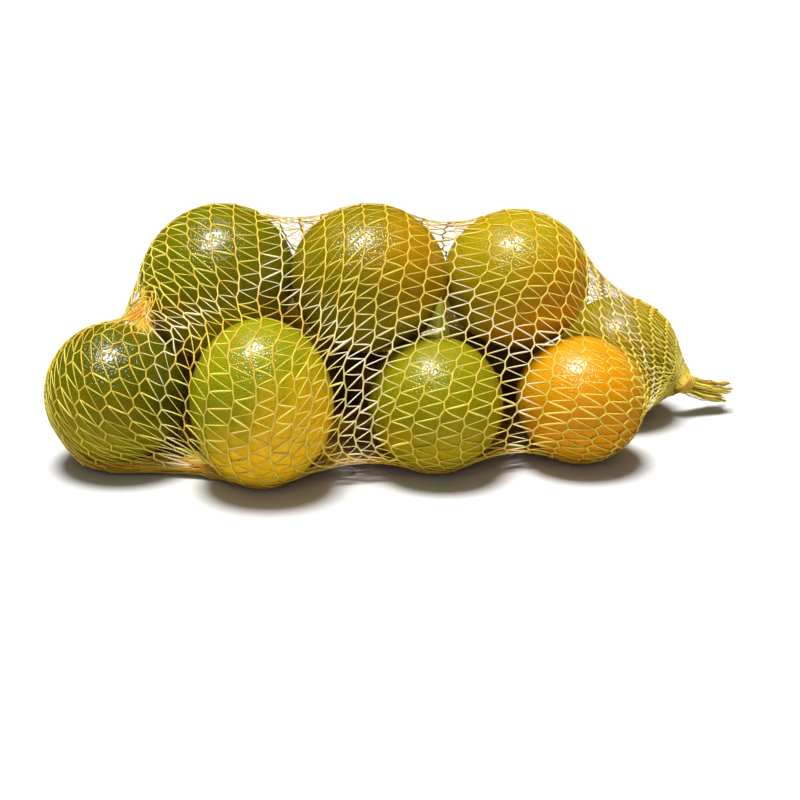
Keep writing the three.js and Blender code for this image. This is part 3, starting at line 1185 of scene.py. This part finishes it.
def make_underlay(knots, outward, net):
    """The threads of the net that lie bunched on the floor under the heap and inside its lower face, dark as
    painted shade.
    """
    rng = np.random.default_rng(UNDER_SEED)
    first = UNDER_FRONT[0][0] + UNDER_RAGGED * scatter(rng, UNDER_STRANDS, (0, 1))
    last = UNDER_FRONT[-1][0] - UNDER_RAGGED * scatter(rng, UNDER_STRANDS, (0, 1))
    along = first + (last - first) * np.linspace(0, 1, UNDER_STEPS)
    edge = look_up(along, UNDER_FRONT)
    room = look_up(along, UNDER_BACK) - edge
    back = scatter(rng, UNDER_STRANDS, (0, 1)) ** UNDER_CROWDED
    sway = UNDER_SWAY * waves(rng, along / scatter(rng, UNDER_STRANDS, UNDER_WAVES))
    height = scatter(rng, UNDER_STRANDS, UNDER_HEIGHT) * np.ones(UNDER_STEPS)
    floor_paths = np.stack([along, edge + np.clip(back * room + sway, 0, room), height], -1)
    rows = np.linspace(*LOW_ALONG, UNDER_STEPS) * (len(knots) - 1) + np.zeros((LOW_STRANDS, 1))
    low, high = LOW_ROUND
    degrees = low + (high - low) * scatter(rng, LOW_STRANDS, (0, 1)) ** LOW_CROWDED
    degrees = degrees + LOW_SWAY * waves(rng, rows / scatter(rng, LOW_STRANDS, LOW_WAVES))
    spokes = degrees / DEGREES * KINKS
    paths = np.concatenate([floor_paths, on_net(knots - outward * LOW_INSET, rows, spokes)])
    paths[..., 2] = np.maximum(paths[..., 2], NET_INSET)
    normals = np.concatenate([np.broadcast_to(UP, floor_paths.shape), on_net(outward, rows, spokes)])
    count = len(paths)
    full = np.ones(UNDER_STEPS)
    widths = scatter(rng, count, UNDER_WIDTH) * full
    twist = scatter(rng, count, UNDER_TURN) * full
    # Painted shade: a deep tint
    tint = UNDER_TINT + UNDER_UNEVEN * rng.standard_normal((count, 1)) * full
    return lay_tapes("net_underlay", "net_underlay_tape", paths, normals, widths, twist, tint, None, net)


def make_tuft(name, tail, net, seed):
    """The loose ends of the net beyond a tie, and the tape wound round it."""
    rng = np.random.default_rng(seed)
    count = TUFT_STRIPS
    share = np.linspace(0, 1, TUFT_STEPS) * scatter(rng, count, TUFT_LENGTH)
    turn = scatter(rng, count, (0, FULL_TURN))
    turn = turn + scatter(rng, count, TUFT_SWIRL) * share
    depth = np.sqrt(scatter(rng, count, TUFT_FILL))
    wave = TUFT_WAVE * waves(rng, share * scatter(rng, count, TUFT_WAVES))
    middle, side, rise = tail_frame(tail, share)
    radius = tail_radius(tail, share) * np.clip(depth + wave * share, 0, TUFT_INSIDE)
    flat = 1 + (TIP_FLATTEN - 1) * share
    paths = (middle + side * (radius * np.sin(turn))[..., None]
             + rise * (radius * flat * np.cos(turn))[..., None])
    paths[..., 2] = np.maximum(paths[..., 2], TUFT_FLOOR)
    normals = unit(side * np.sin(turn)[..., None] + rise * np.cos(turn)[..., None])
    widths = scatter(rng, count, TUFT_WIDTH) * np.ones(TUFT_STEPS)
    heights = np.full_like(widths, TUFT_HEIGHT)
    twist = scatter(rng, count, TUFT_TURN) + scatter(rng, count, TUFT_TWIST) * share
    strips, faces = sweep(paths, normals, widths, heights, twist, TAPE_SIDES)
    tint = np.clip(TUFT_TINT + TUFT_UNEVEN * rng.standard_normal(count), 0, 1)
    tint = np.repeat(tint, TUFT_STEPS * TAPE_SIDES)

    wind = np.linspace(0, TIE_TURNS * FULL_TURN, TIE_TURNS * TIE_TURN_STEPS + 1)
    middle, side, rise = tail_frame(tail, 0.0)
    along = np.cross(side, rise)
    outward = side * np.sin(wind)[:, None] + rise * np.cos(wind)[:, None]
    travel = (wind / FULL_TURN - TIE_TURNS / 2) * TIE_PITCH
    coil = middle + outward * (tail.neck_radius + TIE_LIFT) + along * travel[:, None]
    thick = np.full((1, len(wind)), TIE_RADIUS)
    tie, tie_faces = sweep(coil[None], outward[None], thick, thick, np.zeros_like(thick), RING_SIDES)
    faces += shifted(tie_faces, len(strips))
    tint = np.concatenate([tint, np.full(len(tie), TIE_TINT)])
    values = {"tint": tint, "free": np.zeros(len(tint))}
    return new_piece(name, np.vstack([strips, tie]), faces, [net_finish(f"{name}_tape", net)], values)


# Fruit and leaf


def fruit_shape(orange, seed):
    """An orange as points in heap millimetres, with its triangles and its middle."""
    rng = np.random.default_rng(seed)
    shell = bmesh.new()
    bmesh.ops.create_icosphere(shell, subdivisions=FRUIT_DETAIL, radius=1)
    ways = unit([corner.co for corner in shell.verts])
    faces = [[corner.index for corner in face.verts] for face in shell.faces]
    shell.free()
    lumps = np.zeros(len(ways))
    for _ in range(LUMP_WAVES):
        pitch = unit(rng.standard_normal(3)) * rng.uniform(*LUMP_PITCH)
        lumps += np.sin(ways @ pitch + rng.uniform(0, FULL_TURN))
    lumps = (lumps - lumps.max()) / np.ptp(lumps) * 2 * LUMP_DEPTH + LUMP_RISE
    middle, turn, half = ball(orange, 0)
    points = middle + ((ways @ turn) * half * (1 + lumps)[:, None]) @ turn.T
    away = np.arccos(np.clip(ways @ unit(orange.stem), -1, 1))
    points -= ways * (STEM_HOLLOW * np.exp(-(away / STEM_SPREAD) ** 2))[:, None]
    points[:, 2] = np.maximum(points[:, 2], PEEL_FLOOR)
    return points, faces, middle


def stem_button(orange, middle):
    """The lobed button where the stem was, as points in heap millimetres, with its faces."""
    _, turn, half = ball(orange, 0)
    way = unit(orange.stem)
    reach = 1 / np.linalg.norm((way @ turn) / half)
    seat = middle + way * (reach - STEM_HOLLOW - BUTTON_SINK)
    spokes = BUTTON_LOBES * BUTTON_LOBE_STEPS
    turn_round = turns(spokes)
    lobes = 1 + BUTTON_WAVE * np.cos(BUTTON_LOBES * turn_round)
    points = []
    for spread, height in BUTTON_ROWS:
        radius = BUTTON_RADIUS * spread * (lobes if spread > BUTTON_CORE else np.ones(spokes))
        level = np.full(spokes, height)
        ring = np.stack([radius * np.cos(turn_round), radius * np.sin(turn_round), level], 1)
        points.append(ring @ turn_to(way).T + seat)
    grid = np.arange(len(BUTTON_ROWS) * spokes).reshape(len(BUTTON_ROWS), spokes)
    return np.vstack(points), bands(grid[:-1], grid[1:]) + [grid[-1].tolist(), grid[0, ::-1].tolist()]


def make_orange(name, orange, colours, button, seed):
    """One orange with its stem button."""
    peel, faces, middle = fruit_shape(orange, seed)
    cap, cap_faces = stem_button(orange, middle)
    joined = faces + shifted(cap_faces, len(peel))
    materials = [peel_finish(name, orange, colours), button]
    skin = np.vstack([peel, cap])
    piece = new_piece(f"orange_{name}", skin, joined, materials, middle=middle)
    slots = np.zeros(len(joined), int)
    slots[len(faces):] = 1
    piece.data.polygons.foreach_set("material_index", slots)
    return piece


def make_leaf(leaf):
    """The leaf at the stem of the front middle orange."""
    base = np.array(LEAF_BASE, float)
    along = unit(np.array(LEAF_TIP, float) - base)
    across = unit(np.cross(along, (0, 1, 0)))
    front = np.cross(across, along)
    share = np.linspace(0, 1, LEAF_ROWS)[:, None]
    swing = np.linspace(-1, 1, LEAF_COLUMNS)
    full = np.ones_like(swing)
    shoulder = np.minimum(1, np.sqrt(share / LEAF_SHOULDER + LEAF_HEEL))
    half = leaf.width / MM / 2 * shoulder * (1 - share * LEAF_NARROWS)
    fold = LEAF_FOLD * np.abs(swing) * half
    curl = LEAF_CURL * share ** 2 + LEAF_RIPPLE * np.sin(share * LEAF_RIPPLES) * np.abs(swing)
    points = (base + along * (share * leaf.length / MM * full)[..., None]
              + across * (half * swing)[..., None] + front * (fold + curl)[..., None])
    rib = RIB_TONE * np.exp(-(np.abs(half * swing) / RIB_WIDTH) ** 2)
    side = np.maximum(0, np.sin(share * VEINS - np.abs(swing) * VEIN_SLANT)) ** VEIN_SHARP * VEIN_TONE
    vein = np.clip(np.maximum(rib, side) + LEAF_PALE * ease(share, *LEAF_PALE_TIP), 0, 1)
    back = points - front * LEAF_THICKNESS
    top = np.arange(points[..., 0].size).reshape(points.shape[:2])
    under = top + top.size
    rim = np.concatenate([top[0, :-1], top[:-1, -1], top[-1, :0:-1], top[:0:-1, 0]])
    rim_under = rim + top.size
    blade = np.stack([top[:-1, :-1], top[:-1, 1:], top[1:, 1:], top[1:, :-1]], -1)
    blade_under = np.stack([under[:-1, :-1], under[1:, :-1], under[1:, 1:], under[:-1, 1:]], -1)
    edge = np.stack([rim, rim_under, np.roll(rim_under, -1), np.roll(rim, -1)], -1)
    faces = np.concatenate([quads.reshape(-1, 4) for quads in (blade, blade_under, edge)]).tolist()
    skin = np.vstack([points.reshape(-1, 3), back.reshape(-1, 3)])
    values = {"vein": np.concatenate([vein.ravel(), vein.ravel()])}
    return new_piece("leaf", skin, faces, [leaf_finish(leaf)], values, base)


def make_stalk(leaf):
    """The dry curled stalk under the leaf."""
    share = np.linspace(0, 1, STALK_STEPS)
    path = along_line(STALK_LINE, share)[None]
    normals = np.broadcast_to(unit(STALK_FACING), path.shape)
    start, reach = STALK_TAPER
    widths = (STALK_WIDTH / 2 * np.sin(math.pi * (start + reach * share)))[None]
    heights = np.full_like(widths, STALK_THICKNESS)
    twist = (STALK_CURL * np.sin(share * STALK_CURLS))[None]
    skin, faces = sweep(path, normals, widths, heights, twist, STALK_SIDES)
    return new_piece("leaf_stalk", skin, faces, [stalk_finish(leaf)], None, STALK_LINE[0])


# Operators


class LayStage(bpy.types.Operator):
    """Add the camera, the floor and the lights"""

    bl_idname = "net_bag.lay_stage"
    bl_label = "Stage"

    @staticmethod
    def add_sun(context, name, strength, width, way):
        """A broad lamp far off in a direction."""
        light = bpy.data.lights.new(name, "SUN")
        light.energy = strength
        light.angle = math.radians(width)
        lamp = bpy.data.objects.new(name, light)
        lamp.rotation_euler = Vector(way).to_track_quat("Z", "Y").to_euler()
        context.scene.collection.objects.link(lamp)
        return lamp

    def execute(self, context):
        stage = context.scene.net_bag_stage
        tilt = stage.elevation
        view = bpy.data.cameras.new("view")
        view.lens = stage.lens
        view.clip_start = VIEW_NEAR
        camera = bpy.data.objects.new("view", view)
        back = Vector((0, -math.cos(tilt), math.sin(tilt)))
        camera.location = Vector(to_frame(VIEW_TARGET)) + stage.distance * back
        camera.rotation_euler = (math.pi / 2 - tilt, 0, 0)
        context.scene.collection.objects.link(camera)
        context.scene.camera = camera

        mesh = bpy.data.meshes.new("floor")
        corners = [(x * FLOOR_REACH, y * FLOOR_REACH, 0) for x, y in ((-1, -1), (1, -1), (1, 1), (-1, 1))]
        mesh.from_pydata(corners, [], [(0, 1, 2, 3)])
        mesh.materials.append(floor_finish(stage))
        floor = bpy.data.objects.new("floor", mesh)
        floor.location.z = BAG_LOW.z - FLOOR_DROP
        context.scene.collection.objects.link(floor)
        floor.visible_glossy = False

        key = self.add_sun(context, "key", stage.key, KEY_WIDTH, KEY_WAY)
        key.visible_glossy = False
        gleam = self.add_sun(context, "gleam", stage.gleam, GLEAM_WIDTH, GLEAM_WAY)
        gleam.visible_diffuse = False
        fill = self.add_sun(context, "fill", stage.fill, FILL_WIDTH, FILL_WAY)
        fill.visible_glossy = False

        world = bpy.data.worlds.new("sky")
        world.use_nodes = True
        background = world.node_tree.nodes["Background"]
        background.inputs["Color"].default_value = (1, 1, 1, 1)
        background.inputs["Strength"].default_value = stage.sky
        world.cycles_visibility.glossy = False
        context.scene.world = world
        context.scene.view_settings.view_transform = "Standard"
        return {"FINISHED"}


class MakeOranges(bpy.types.Operator):
    """Add the oranges of the heap"""

    bl_idname = "net_bag.make_oranges"
    bl_label = "Oranges"

    def execute(self, context):
        colours = context.scene.net_bag_peel
        button = button_finish(colours)
        for seed, (name, orange) in enumerate(ORANGES.items(), FRUIT_SEED):
            make_orange(name, orange, colours, button, seed)
        return {"FINISHED"}


class KnitNet(bpy.types.Operator):
    """Add the rings and strands of the net, drawn tight over the heap"""

    bl_idname = "net_bag.knit_net"
    bl_label = "Net"

    def execute(self, context):
        net = context.scene.net_bag_net
        knots = drawn_net()
        lay_slack(knots)
        normals = face_normals(knots)
        points, facing = knit(knots - normals * NET_INSET, normals)
        thin = (make_rings(points, facing, net), make_strands(points, facing, net), make_gather(net))
        for piece in thin:
            piece.visible_shadow = False  # threads this thin leave no shadow that shows on the peel
        make_fold(net)
        make_underlay(knots, normals, net)
        return {"FINISHED"}


class TieEnds(bpy.types.Operator):
    """Add the tied tufts at both ends of the net"""

    bl_idname = "net_bag.tie_ends"
    bl_label = "Tied Ends"

    def execute(self, context):
        for seed, (side, tail) in enumerate(TAILS.items(), TUFT_SEED):
            make_tuft(f"tuft_{side}", tail, context.scene.net_bag_net, seed)
        return {"FINISHED"}


class AddLeaf(bpy.types.Operator):
    """Add the leaf of the front middle orange"""

    bl_idname = "net_bag.add_leaf"
    bl_label = "Leaf"

    def execute(self, context):
        leaf = context.scene.net_bag_leaf
        make_leaf(leaf)
        make_stalk(leaf)
        return {"FINISHED"}


class NetBagPanel(bpy.types.Panel):
    """Lists the pieces of the bag and the values to make them with"""

    bl_idname = "VIEW3D_PT_net_bag"
    bl_label = "Net Bag of Oranges"
    bl_space_type = "VIEW_3D"
    bl_region_type = "UI"
    bl_category = "Net Bag"

    def draw(self, context):
        for operator, group in PARTS:
            box = self.layout.box()
            box.operator(operator.bl_idname)
            settings = getattr(context.scene, group)
            for name in settings.bl_rna.properties.keys():
                if name not in ("name", "rna_type"):
                    box.prop(settings, name)


GROUPS = {
    "net_bag_stage": StageSettings,
    "net_bag_peel": PeelSettings,
    "net_bag_net": NetSettings,
    "net_bag_leaf": LeafSettings,
}
PARTS = (
    (LayStage, "net_bag_stage"),
    (MakeOranges, "net_bag_peel"),
    (KnitNet, "net_bag_net"),
    (TieEnds, "net_bag_net"),
    (AddLeaf, "net_bag_leaf"),
)
CLASSES = (*GROUPS.values(), *(operator for operator, _ in PARTS), NetBagPanel)


def register():
    for item in CLASSES:
        bpy.utils.register_class(item)
    for name, group in GROUPS.items():
        setattr(bpy.types.Scene, name, PointerProperty(type=group))


def unregister():
    for name in GROUPS:
        delattr(bpy.types.Scene, name)
    for item in reversed(CLASSES):
        bpy.utils.unregister_class(item)


def main():
    register()
    bpy.ops.net_bag.lay_stage()
    bpy.ops.net_bag.make_oranges()
    bpy.ops.net_bag.knit_net()
    bpy.ops.net_bag.tie_ends()
    bpy.ops.net_bag.add_leaf()
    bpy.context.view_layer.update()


if __name__ == "__main__":
    main()
